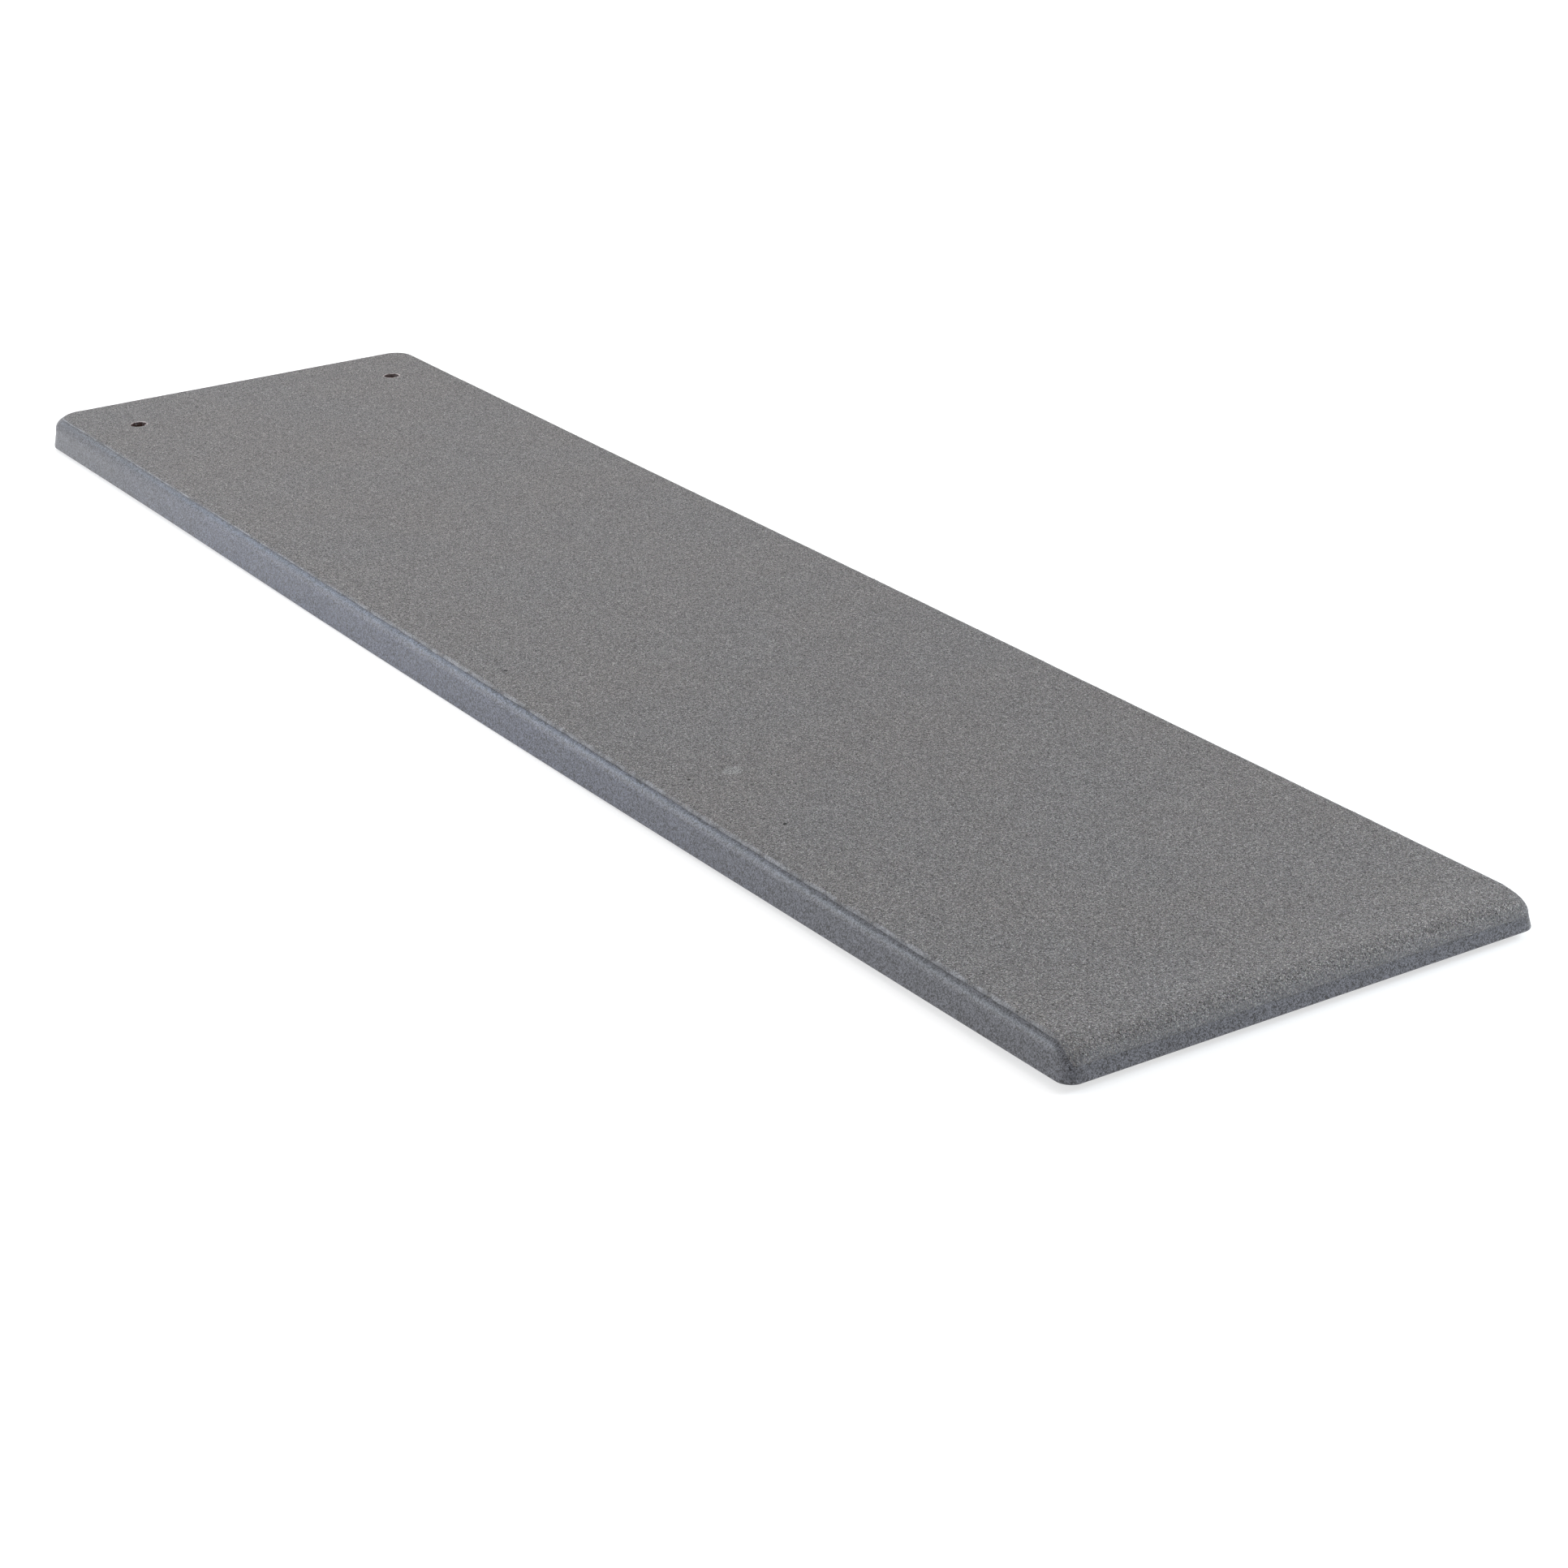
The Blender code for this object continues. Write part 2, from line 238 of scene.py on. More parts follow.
class Perimeter:
    """Nodes round the board, anticlockwise from above, starting half-way round the near butt corner.

    Each node lies between two corners, a share of the way from the first to the second, and faces outwards
    along (nx, ny). An end of 1 is the tip and -1 the butt. A side of 1 is the left, -1 the right."""

    def __init__(self, long_cells, short_cells, arc_cells):
        corners = [(225, -1, -1), (315, 1, -1), (45, 1, 1), (135, -1, 1)]
        rows = []
        for index, (start, end, side) in enumerate(corners):
            following = corners[(index + 1) % 4]
            cells = (long_cells, short_cells)[index % 2]
            for i in range(cells):
                share = min(max((i - arc_cells) / (cells - 2 * arc_cells), 0.0), 1.0)
                turn = min(i / arc_cells, 1.0) + max((i - cells + arc_cells) / arc_cells, 0.0)
                angle = math.radians(start + 45 * turn)
                rows.append((end, side, *following[1:], share, math.cos(angle), math.sin(angle)))
        columns = np.array(rows).T
        self.end_a, self.side_a, self.end_b, self.side_b, self.share, self.nx, self.ny = columns
        self.count = len(rows)
        middle = self.ring(FLAT_INSET, 0, SHOULDER_RUN, SHOULDER_RUN)
        self.along = (middle[:, 0] - BUTT_X) / LENGTH

    def ring(self, inset, z, butt_centre, tip_centre):
        """Ring at this inset and height, whose corners' centres stand in by these distances at each end."""
        reach = 0
        points = np.zeros((self.count, 3))
        for end, side, weight in (
            (self.end_a, self.side_a, 1 - self.share),
            (self.end_b, self.side_b, self.share),
        ):
            centre = np.where(end < 0, butt_centre, tip_centre)
            points[:, 0] += weight * np.where(end < 0, BUTT_X + centre, TIP_X - centre)
            points[:, 1] += weight * side * (HALF_WIDTH - centre)
            reach = reach + weight * centre
        points[:, 0] += self.nx * (reach - inset)
        points[:, 1] += self.ny * (reach - inset)
        points[:, 2] = z
        return points

    def skin(self, angle, lift):
        """Ring on the rounded shoulder: angle 0 is the flat top's edge, a right angle the wall's top.

        A larger angle runs on down the wall."""
        down_wall = np.maximum(angle - math.pi / 2, 0) * (SHOULDER_RUN + lift)
        angle = np.minimum(angle, math.pi / 2)
        inset = FLAT_INSET - (SHOULDER_RUN + lift) * np.sin(angle) - WALL_LEAN * down_wall
        z = SHELL_TOP_Z + lift - (SHOULDER_DROP + lift) * (1 - np.cos(angle)) - down_wall
        butt = corner_centre(BUTT_CORNER_WALL, BUTT_CORNER_FLAT, angle)
        tip = corner_centre(TIP_CORNER_WALL, TIP_CORNER_FLAT, angle)
        return self.ring(inset, z, butt, tip)

    def wall(self, inset, height):
        """Ring on the drafted wall, at a height over the underside."""
        upper = self.skin(math.pi / 2, -inset)
        lower = self.ring(inset, 0, BUTT_CORNER_RIM, TIP_CORNER_RIM)
        base = underside_z(lower[:, 0])
        share = height / (SHOULDER_Z - base)
        points = lower + (upper - lower) * share[:, None]
        points[:, 2] = base + height
        return points


def wave(points, size, seed):
    """Smooth noise from -1 to 1 at each point, with features of about this size."""
    shift = Vector((seed * 7.31, seed * 3.17, seed * 1.93))
    return np.array([noise.noise(Vector(point) / size + shift) for point in points])


def new_object(name, vertices, faces, material, smooth=True):
    mesh = bpy.data.meshes.new(name)
    mesh.from_pydata([tuple(point) for point in vertices], [], faces)
    mesh.validate()
    if smooth:
        mesh.shade_smooth()
    mesh.materials.append(material)
    item = bpy.data.objects.new(name, mesh)
    bpy.context.scene.collection.objects.link(item)
    return item


def ring_faces(count, first, second):
    """Quads between two rings whose vertices start at these indices."""
    faces = []
    for i in range(count):
        following = (i + 1) % count
        faces.append((first + i, second + i, second + following, first + following))
    return faces


def set_point_attribute(item, name, values):
    attribute = item.data.attributes.new(name, "FLOAT", "POINT")
    attribute.data.foreach_set("value", np.asarray(values, np.float32))


# Materials.


class Nodes:
    """Short forms for building one material's shader. The functions below call theirs n."""

    def __init__(self, name):
        self.material = bpy.data.materials.new(name)
        self.material.use_nodes = True
        self.tree = self.material.node_tree
        self.shader = self.tree.nodes["Principled BSDF"]

    def link(self, source, target):
        self.tree.links.new(source, target)

    def new(self, kind, **values):
        node = self.tree.nodes.new("ShaderNode" + kind)
        for key, value in values.items():
            setattr(node, key, value)
        return node

    def feed(self, socket, value):
        if isinstance(value, bpy.types.NodeSocket):
            self.link(value, socket)
        elif isinstance(value, tuple) and len(value) == 3 and socket.type == "RGBA":
            socket.default_value = (*value, 1.0)
        else:
            socket.default_value = value

    def place(self, scale=(1, 1, 1), shift=(0, 0, 0)):
        """Object coordinates in metres, stretched by scale."""
        coordinates = self.new("TexCoord")
        mapping = self.new("Mapping")
        mapping.inputs["Scale"].default_value = scale
        mapping.inputs["Location"].default_value = shift
        self.link(coordinates.outputs["Object"], mapping.inputs["Vector"])
        return mapping.outputs["Vector"]

    def axes(self):
        """X, Y and Z of the object coordinates, in metres."""
        split = self.new("SeparateXYZ")
        self.link(self.place(), split.inputs["Vector"])
        return split.outputs["X"], split.outputs["Y"], split.outputs["Z"]

    def noise(self, vector, size, detail=3.0, roughness=0.5, distortion=0.0):
        node = self.new("TexNoise")
        self.link(vector, node.inputs["Vector"])
        node.inputs["Scale"].default_value = 1 / size
        node.inputs["Detail"].default_value = detail
        node.inputs["Roughness"].default_value = roughness
        node.inputs["Distortion"].default_value = distortion
        return node.outputs["Fac"]

    def cells(self, vector, size, output="Color"):
        """Irregular cells of about this size: a random colour for each, or the distance from its middle."""
        node = self.new("TexVoronoi")
        self.link(vector, node.inputs["Vector"])
        node.inputs["Scale"].default_value = 1 / size
        return node.outputs[output]

    def channel(self, colour, name):
        node = self.new("SeparateColor")
        self.link(colour, node.inputs["Color"])
        return node.outputs[name]

    def maths(self, operation, *values, clamp=False):
        node = self.new("Math", operation=operation, use_clamp=clamp)
        for socket, value in zip(node.inputs, values):
            self.feed(socket, value)
        return node.outputs["Value"]

    def ramp(self, value, *stops):
        """Colour or grey ramp through (place, colour) stops."""
        node = self.new("ValToRGB")
        self.link(value, node.inputs["Fac"])
        elements = node.color_ramp.elements
        while len(elements) < len(stops):
            elements.new(0.5)
        for element, (place, colour) in zip(elements, stops):
            element.position = place
            if not isinstance(colour, tuple):
                colour = (colour, colour, colour)
            element.color = (*colour, 1.0)
        return node.outputs["Color"]

    def remap(self, value, low, high, to_low=0.0, to_high=1.0):
        """Straight-line change from low..high to to_low..to_high, held at both ends."""
        node = self.new("MapRange", clamp=True)
        for socket, number in zip(node.inputs, (value, low, high, to_low, to_high)):
            self.feed(socket, number)
        return node.outputs["Result"]

    def mix(self, factor, first, second, blend="MIX"):
        node = self.new("Mix", data_type="RGBA", blend_type=blend, clamp_factor=True)
        self.feed(node.inputs[0], factor)
        self.feed(node.inputs[6], first)
        self.feed(node.inputs[7], second)
        return node.outputs[2]

    def bump(self, height, distance, strength=1.0, normal=None):
        node = self.new("Bump")
        self.feed(node.inputs["Height"], height)
        node.inputs["Distance"].default_value = distance
        node.inputs["Strength"].default_value = strength
        if normal is not None:
            self.link(normal, node.inputs["Normal"])
        return node.outputs["Normal"]

    def attribute(self, name):
        return self.new("Attribute", attribute_name=name).outputs["Fac"]

    def set(self, **values):
        """Feeds the shader's inputs, named with underscores, and returns the material."""
        for name, value in values.items():
            self.feed(self.shader.inputs[name.replace("_", " ")], value)
        return self.material


def near_holes(n, reach):
    """1 at the bolt holes' edges, falling to 0 at this distance out from them."""
    x, y, _ = n.axes()
    y = n.maths("SUBTRACT", n.maths("ABSOLUTE", y), HOLE_Y)
    squared = n.maths("ADD", n.maths("MULTIPLY", x, x), n.maths("MULTIPLY", y, y))
    distance = n.maths("SQRT", squared)
    return n.remap(distance, HOLE_RADIUS, HOLE_RADIUS + reach, 1.0, 0.0)


def hole_stain_and_shade(n, base, below):
    """Walls of the bolt holes, dark below this height: reddish-brown sawdust and resin, deepened with painted
    shade of the hole's depth.
    """
    ragged = 1.2 * MM
    fade = 0.4 * MM
    rough = n.maths("SUBTRACT", n.noise(n.place(), ragged, 2), 0.5)
    height = n.maths("ADD", n.axes()[2], n.maths("MULTIPLY", rough, ragged))
    under = n.remap(height, below - fade, below, 1.0, 0.0)
    wall = n.maths("GREATER_THAN", near_holes(n, 5 * MM), 0.3)
    return n.mix(n.maths("MULTIPLY", under, wall), base, HOLE_STAIN_AND_SHADE)


def granite_acrylic():
    """Blue-grey acrylic with fine dark and pale flecks under a satin surface, and a painted bluish reflection
    over mid-board.
    """
    n = Nodes("granite_acrylic")
    place = n.place()
    wobble = n.noise(place, 2.2 * MM, 2)
    warped = n.new("VectorMath", operation="ADD")
    n.link(place, warped.inputs[0])
    scaled = n.new("VectorMath", operation="SCALE")
    n.link(wobble, scaled.inputs[0])
    scaled.inputs["Scale"].default_value = 0.9 * MM
    n.link(scaled.outputs[0], warped.inputs[1])
    flecks = n.cells(warped.outputs[0], FLECK)
    small = n.cells(warped.outputs[0], SPECKLE)
    # Painted reflection: bluer over the middle of the board (GRANITE_COOL) and greyer at the butt and the tip
    # (GRANITE_WARM); the cloud only blurs where the change falls.
    cloud = n.noise(place, 60 * MM, 3)
    drift = n.maths("ADD", n.axes()[0], n.maths("MULTIPLY", cloud, 0.2))
    base = n.ramp(
        n.remap(drift, BUTT_X, TIP_X),
        (0.12, GRANITE_WARM),
        (0.3, GRANITE_COOL),
        (0.65, GRANITE_COOL),
        (0.95, GRANITE_WARM),
    )
    shade = n.ramp(n.channel(small, "Red"), (0.0, 0.25), (0.5, 1.0), (1.0, 1.8))
    base = n.mix(1.0, base, shade, "MULTIPLY")
    dark = n.ramp(n.channel(flecks, "Green"), (0.80, 0.0), (0.83, 1.0))
    base = n.mix(n.maths("MULTIPLY", dark, 0.9), base, GRANITE_DARK)
    pale = n.ramp(n.channel(small, "Blue"), (0.93, 0.0), (0.97, 1.0))
    base = n.mix(n.maths("MULTIPLY", pale, 0.5), base, GRANITE_PALE)
    # Hole walls: resin stain with painted shade.
    base = hole_stain_and_shade(n, base, SHELL_TOP_Z + 0.8 * MM)
    peel = n.noise(place, 5 * MM, 2)
    grain = n.noise(place, 0.7 * MM, 2)
    normal = n.bump(peel, 0.12 * MM, 0.6)
    normal = n.bump(grain, 0.05 * MM, 0.5, normal)
    haze = n.noise(place, 25 * MM, 4, 0.6)
    roughness = n.remap(haze, 0.3, 0.7, 0.25, 0.37)
    return n.set(Base_Color=base, Roughness=roughness, Normal=normal, Specular_IOR_Level=0.5)


def tread_colour(n, place):
    """Colours of single grains: mid grey, some pale quartz, a few black, with painted shade and light along
    the board. Also returns the grains' cells.
    """
    grains = n.cells(place, TREAD_GRAIN)
    fine = n.cells(place, TREAD_FINE_GRAIN)
    value = n.ramp(
        n.channel(grains, "Red"),
        (0.0, 0.3),
        (0.25, 0.66),
        (0.6, 0.98),
        (0.85, 1.36),
        (1.0, 2.15),
    )
    patch = n.noise(place, 140 * MM, 4, 0.55)
    base = n.mix(n.remap(patch, 0.35, 0.65), TREAD_COOL, TREAD_WARM)
    # Painted shade and light: the tread is darkened from mid-board towards the tip and lightened where it
    # wraps over the tip, as the lights fall.
    along = n.remap(n.axes()[0], BUTT_X, TIP_X)
    wear_and_shading = n.ramp(along, (0.45, 1.0), (0.72, 0.945), (0.95, 0.955), (1.0, 1.05))
    base = n.mix(1.0, base, wear_and_shading, "MULTIPLY")
    base = n.mix(1.0, base, value, "MULTIPLY")
    tint = n.ramp(n.channel(fine, "Green"), (0.0, 0.62), (1.0, 1.38))
    base = n.mix(1.0, base, tint, "MULTIPLY")
    hue = n.mix(0.16, WHITE, fine)
    base = n.mix(1.0, base, n.mix(1.0, hue, (1.08, 1.08, 1.08), "MULTIPLY"), "MULTIPLY")
    black = n.maths("GREATER_THAN", n.channel(grains, "Blue"), 0.994)
    for x, y, size in TREAD_SPECKS:
        black = n.maths("MAXIMUM", black, spot(n, place, x, y, size))
    base = n.mix(black, base, TREAD_BLACK)
    x, y, size = BRIGHT_PATCH
    bright = n.maths("MULTIPLY", spot(n, place, x, y, size), n.remap(n.channel(fine, "Red"), 0.72, 0.84))
    return n.mix(n.maths("MULTIPLY", bright, 0.85), base, BARE_QUARTZ), grains


def spot(n, place, x, y, size):
    """1 inside a small irregular blot on the tread, 0 outside."""
    offset = n.new("VectorMath", operation="SUBTRACT")
    n.link(place, offset.inputs[0])
    offset.inputs[1].default_value = (x, y, TOP_Z)
    length = n.new("VectorMath", operation="LENGTH")
    n.link(offset.outputs[0], length.inputs[0])
    ragged = n.maths("MULTIPLY", n.noise(place, 1.5 * MM, 2), size)
    reach = n.maths("ADD", length.outputs["Value"], ragged)
    return n.remap(reach, 1.3 * size, 1.5 * size, 1.0, 0.0)


def sand_tread():
    """Bonded silica grit: rounded grains with resin between them, paler along a rubbed edge."""
    n = Nodes("sand_tread")
    place = n.place()
    base, grains = tread_colour(n, place)
    edge = n.attribute("edge")
    broken = n.noise(place, 12 * MM, 3)
    bare = n.maths("MULTIPLY", n.attribute("thin"), n.remap(n.noise(place, 1.6 * MM, 2), 0.35, 0.6))
    base = n.mix(n.maths("MULTIPLY", bare, 0.7), base, THIN_COAT)
    sparkle = n.remap(n.channel(n.cells(place, 1.1 * MM), "Green"), 0.1, 0.75, 0.25, 1.0)
    wear_and_shading = n.maths("MULTIPLY", n.maths("MULTIPLY", edge, sparkle), n.remap(broken, 0.35, 0.6), clamp=True)
    base = n.mix(n.maths("MULTIPLY", wear_and_shading, 0.7), base, TREAD_EDGE)
    scuff = near_holes(n, 5 * MM)
    ragged = n.maths("ADD", scuff, n.maths("MULTIPLY", n.noise(place, 2.5 * MM), 0.9))
    ragged = n.remap(ragged, 0.9, 1.1)
    base = n.mix(n.maths("MULTIPLY", ragged, 0.85), base, CHIP_PALE)
    # Hole walls: resin stain with painted shade.
    base = hole_stain_and_shade(n, base, TOP_Z - 0.25 * MM)
    height = n.maths("SUBTRACT", 0.7, n.cells(place, TREAD_GRAIN, "Distance"))
    fine = n.maths("SUBTRACT", 0.7, n.cells(place, TREAD_FINE_GRAIN, "Distance"))
    stand = n.channel(grains, "Green")
    raised = n.maths("MULTIPLY", height, n.remap(stand, 0, 1, 0.5, 1.4))
    normal = n.bump(raised, 0.4 * MM, 0.55)
    normal = n.bump(fine, 0.25 * MM, 0.4, normal)
    roughness = n.remap(n.channel(grains, "Blue"), 0.0, 1.0, 0.62, 0.95)
    return n.set(Base_Color=base, Roughness=roughness, Normal=normal, Specular_IOR_Level=0.35)


def grit():
    """Coarser grains that stand out of the coat, each with one colour of its own."""
    n = Nodes("tread_grit")
    value = n.attribute("grain")
    base = n.ramp(value, *GRIT_SHADES)
    place = n.place()
    cloud = n.noise(place, 0.5 * MM, 2)
    base = n.mix(1.0, base, n.ramp(cloud, (0.3, 0.85), (0.7, 1.15)), "MULTIPLY")
    normal = n.bump(cloud, 0.1 * MM, 0.5)
    roughness = n.remap(value, 0, 1, 0.8, 0.35)
    return n.set(Base_Color=base, Roughness=roughness, Normal=normal)


def fibreglass(name, resin):
    """Chopped glass strands crossing at random in amber resin."""
    n = Nodes(name)
    place = n.place()
    strands = None
    for turn in range(3):
        mapping = n.new("Mapping")
        n.link(place, mapping.inputs["Vector"])
        mapping.inputs["Rotation"].default_value = (0, 0, math.radians(17 + 61 * turn))
        mapping.inputs["Scale"].default_value = (0.07, 1.0, 0.5)
        layer = n.remap(n.noise(mapping.outputs["Vector"], 1.1 * MM, 2), 0.56, 0.66)
        strands = layer if strands is None else n.maths("MAXIMUM", strands, layer)
    cloud = n.noise(place, 30 * MM, 4)
    base = n.mix(n.remap(cloud, 0.35, 0.65), resin, tuple(0.82 * part for part in resin))
    base = n.mix(n.maths("MULTIPLY", strands, 0.55), base, GLASS_STRAND)
    normal = n.bump(strands, 0.15 * MM, 0.7)
    roughness = n.remap(cloud, 0.3, 0.7, 0.25, 0.5)
    return n.set(Base_Color=base, Roughness=roughness, Normal=normal)


def underside_coat():
    """Grey resin coat brushed along the board, with the glass mat printing through."""
    n = Nodes("underside_coat")
    place = n.place()
    brushed = n.noise(n.place((0.03, 1, 1)), 1.6 * MM, 3)
    strokes = n.noise(n.place((0.08, 1, 1)), 22 * MM, 4)
    print_through = n.noise(place, 4 * MM, 4, 0.65, 1.5)
    cloud = n.noise(place, 90 * MM, 4)
    base = n.mix(n.remap(cloud, 0.35, 0.65), COAT_DARK, COAT_LIGHT)
    for pattern, low, high in ((brushed, 0.82, 1.12), (strokes, 0.84, 1.14), (print_through, 0.86, 1.12)):
        base = n.mix(1.0, base, n.ramp(pattern, (0.3, low), (0.7, high)), "MULTIPLY")
    pinhole = n.maths("GREATER_THAN", n.channel(n.cells(place, 2 * MM), "Red"), 0.994)
    base = n.mix(n.maths("MULTIPLY", pinhole, 0.6), base, COAT_PINHOLE)
    normal = n.bump(print_through, 0.4 * MM, 0.5)
    normal = n.bump(brushed, 0.12 * MM, 0.5, normal)
    roughness = n.remap(print_through, 0.3, 0.7, 0.4, 0.6)
    return n.set(Base_Color=base, Roughness=roughness, Normal=normal)


def fir(number):
    """Straight-grained reddish fir. Each strip is cut from another part of the plank."""
    n = Nodes(f"fir_{number:02d}")
    shift = (0.37 * number, 0.053 * number, 0.11 * number)
    place = n.place((0.05, 1, 1), shift)
    drift = n.noise(place, 30 * MM, 2)
    across = "Y" if number % 2 else "Z"
    rings = n.new("TexWave", wave_type="BANDS", bands_direction=across, wave_profile="SAW")
    n.link(place, rings.inputs["Vector"])
    rings.inputs["Scale"].default_value = 60.0
    rings.inputs["Distortion"].default_value = 2.5
    rings.inputs["Detail"].default_value = 2.0
    rings.inputs["Detail Scale"].default_value = 12.0
    late = n.ramp(rings.outputs["Fac"], (0.0, 0.0), (0.7, 0.25), (0.95, 1.0))
    base = n.mix(late, FIR_EARLY, FIR_LATE)
    base = n.mix(n.remap(drift, 0.35, 0.65, 0.0, 0.35), base, FIR_PALE)
    pores = n.noise(n.place((0.02, 1, 1), shift), 0.5 * MM, 3)
    base = n.mix(1.0, base, n.ramp(pores, (0.3, 0.86), (0.6, 1.04)), "MULTIPLY")
    normal = n.bump(n.maths("ADD", late, pores), 0.15 * MM, 0.5)
    roughness = n.remap(late, 0, 1, 0.7, 0.5)
    return n.set(Base_Color=base, Roughness=roughness, Normal=normal)


# Shapes.


def chipped_cutter(name, y, seed, z_top, z_bottom, spread):
    """Bolt-hole cutter: round and straight below, with an irregular chipped mouth at z_top.

    The right hole is broken out widest towards the tip and the board's right edge."""
    worst = Vector((0.6, -0.8, 0)) if y < 0 else Vector((-0.5, 0, 0))
    steps = HOLE_SEGMENTS
    chip_depth = 1.4 * MM
    clear_above = 5 * MM
    levels = [
        (z_top + clear_above, spread),
        (z_top, spread),
        (z_top - chip_depth, 0.25 * spread),
        (z_top - 2 * chip_depth, 0.0),
        (z_bottom, 0.0),
    ]
    mesh = bmesh.new()
    loops = []
    for z, amount in levels:
        loop = []
        for i in range(steps):
            angle = 2 * math.pi * i / steps
            direction = Vector((math.cos(angle), math.sin(angle), 0))
            rough = noise.noise(direction * 2.3 + Vector((seed, 0, 0)))
            fine = noise.noise(direction * 7.0 + Vector((0, seed, 0)))
            broken = 0.8 * max(0.0, direction.dot(worst))
            chip = max(0.0, 0.4 + 0.7 * rough + 0.5 * fine + broken)
            radius = HOLE_RADIUS + amount * chip
            loop.append(mesh.verts.new(direction * radius + Vector((0, y, z))))
        loops.append(loop)
    for upper, lower in zip(loops, loops[1:]):
        for i in range(steps):
            following = (i + 1) % steps
            mesh.faces.new((upper[i], upper[following], lower[following], lower[i]))
    mesh.faces.new(loops[0])
    mesh.faces.new(loops[-1])
    bmesh.ops.recalc_face_normals(mesh, faces=mesh.faces)
    data = bpy.data.meshes.new(name)
    mesh.to_mesh(data)
    mesh.free()
    cutter = bpy.data.objects.new(name, data)
    bpy.context.scene.collection.objects.link(cutter)
    return cutter


def cut_holes(item, z_top, z_bottom, spread, seed):
    """Cuts both bolt holes, chipped round their mouths at z_top, and leaves a plain mesh."""
    for side, y in enumerate((-HOLE_Y, HOLE_Y)):
        cutter = chipped_cutter("cutter", y, seed + 5 * side, z_top, z_bottom, spread)
        boolean = item.modifiers.new("hole", "BOOLEAN")
        boolean.operation = "DIFFERENCE"
        boolean.solver = "EXACT"
        boolean.object = cutter
        graph = bpy.context.evaluated_depsgraph_get()
        cut = bpy.data.meshes.new_from_object(item.evaluated_get(graph), depsgraph=graph)
        item.modifiers.clear()
        item.data = cut
        bpy.data.objects.remove(cutter)
    # Many-sided faces are split here, so that two of them can't come to share a diagonal.
    mesh = bmesh.new()
    mesh.from_mesh(item.data)
    bmesh.ops.triangulate(mesh, faces=[face for face in mesh.faces if len(face.verts) > 4])
    mesh.to_mesh(item.data)
    mesh.free()


def make_shell(material):
    """The acrylic pan, with a faint unevenness from forming."""
    ring_set = Perimeter(*SHELL_CELLS)
    rings = [ring_set.skin(math.pi / 2 * i / SHOULDER_STEPS, 0.0) for i in range(SHOULDER_STEPS + 1)]
    rings += [ring_set.wall(0, height) for height in (9 * MM, 5 * MM)]
    first_of_rim = len(rings)
    for i in range(RIM_STEPS + 1):
        angle = math.pi / 2 * i / RIM_STEPS
        inset = RIM_ROUND * (1 - math.cos(angle))
        rings.append(ring_set.wall(inset, RIM_ROUND * (1 - math.sin(angle))))
    rings.append(ring_set.wall(ACRYLIC_THICKNESS, 0))
    for i in range(INNER_SHOULDER_STEPS, -1, -1):
        rings.append(ring_set.skin(math.pi / 2 * i / INNER_SHOULDER_STEPS, -ACRYLIC_THICKNESS))
    count = ring_set.count
    outward = np.stack([ring_set.nx, ring_set.ny, np.zeros(count)], 1)
    # The flat top, the start of the shoulder and the rim stay true.
    for i in range(3, first_of_rim):
        ripple = 0.10 * MM * wave(rings[i], 70 * MM, 1) + 0.05 * MM * wave(rings[i], 22 * MM, 2)
        rings[i] = rings[i] + outward * ripple[:, None]
    faces = [tuple(range(count))]
    for i in range(len(rings) - 1):
        faces += ring_faces(count, i * count, (i + 1) * count)
    last = (len(rings) - 1) * count
    faces.append(tuple(last + i for i in reversed(range(count))))
    item = new_object("pan_granite_acrylic", np.concatenate(rings), faces, material)
    item.data.set_sharp_from_angle(angle=math.radians(40))
    cut_holes(item, SHELL_TOP_Z, underside_z(0) - BELOW_SHELL, SHELL_CHIP, seed=3)
    return item


def tread_limits(ring_set):
    """How far down the shoulder the tread reaches at each node, as an angle."""
    run = SHOULDER_RUN + TREAD_LIFT
    drop = SHOULDER_DROP + TREAD_LIFT
    along = ring_set.along
    edge_points = ring_set.skin(0.5, 0)
    slow = wave(edge_points, 90 * MM, 4)
    quick = wave(edge_points, 17 * MM, 5)
    fine = wave(edge_points, 6 * MM, 6)
    side_inset = np.interp(along, SIDE_STATIONS, SIDE_INSETS) * MM
    side_inset = side_inset + (0.45 * slow + 0.3 * quick + 0.25 * fine) * MM
    side_angle = np.arcsin(np.clip((FLAT_INSET - side_inset) / run, 0.05, 1))
    across = (edge_points[:, 1] + HALF_WIDTH) / (2 * HALF_WIDTH)
    wrap = (TIP_WRAP + TIP_WRAP_SLANT * across + 0.35 * slow + 0.3 * quick + 0.3 * fine) * MM
    tip_angle = np.arccos(1 - np.minimum(wrap / drop, 1)) + np.maximum(wrap - drop, 0) / run
    turned = np.degrees(np.arctan2(ring_set.nx, np.abs(ring_set.ny)))
    share = np.clip((turned - TURN_START) / TURN_SPAN, 0, 1)
    share = share * share * (3 - 2 * share)
    return side_angle + (tip_angle - side_angle) * share


def tread_feather(ring_set):
    """Width of the tread's tapered edge: wide at both ends, a short step on the sides near the tip."""
    side = np.interp(ring_set.along, [0, 0.35, 0.55, 1.0], [6.0, 5.0, 1.6, 1.2])
    at_tip = np.clip(ring_set.nx, 0, 1)
    return (side * (1 - at_tip) + 8.0 * at_tip) * MM


